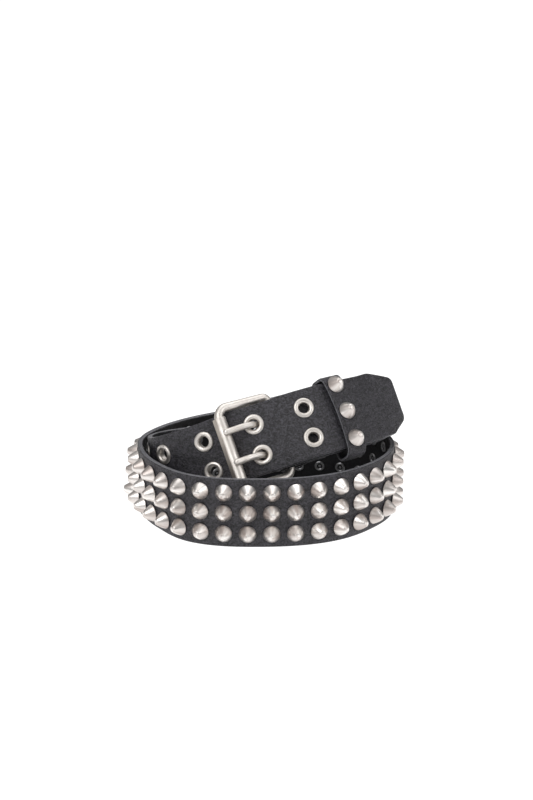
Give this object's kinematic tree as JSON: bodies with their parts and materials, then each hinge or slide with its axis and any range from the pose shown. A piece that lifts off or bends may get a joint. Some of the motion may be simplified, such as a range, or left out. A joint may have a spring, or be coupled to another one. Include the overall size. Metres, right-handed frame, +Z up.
{
  "type": "studded belt",
  "caption": "Black leather belt with rows of nickel cone studs, paired eyelets, a two-prong roller buckle and a keeper, fastened and coiled on its edge.",
  "frame": {"origin": "middle of the belt's box, on the floor that the strap's lower edge stands on", "axes": "+Z up, the front of the coil towards -Y, the free end pointing to +X"},
  "size_m": [0.169, 0.1482, 0.0868],
  "materials": {
    "leather": "fine-grained black, satin",
    "nickel": "satin nickel, brushed round on the studs"
  },
  "bodies": {
    "root": {"studded_strap": "leather", "eyelet_1_upper": "nickel", "eyelet_1_lower": "nickel", "eyelet_2_upper": "nickel", "eyelet_2_lower": "nickel", "eyelet_3_upper": "nickel", "eyelet_3_lower": "nickel", "eyelet_4_upper": "nickel", "eyelet_4_lower": "nickel", "eyelet_5_upper": "nickel", "eyelet_5_lower": "nickel", "buckle_frame": "nickel", "roller": "nickel", "prong_upper": "nickel", "prong_lower": "nickel", "keeper": "leather", "keeper_stud_1": "nickel", "keeper_stud_2": "nickel", "keeper_stud_3": "nickel"}
  },
  "joints": []
}
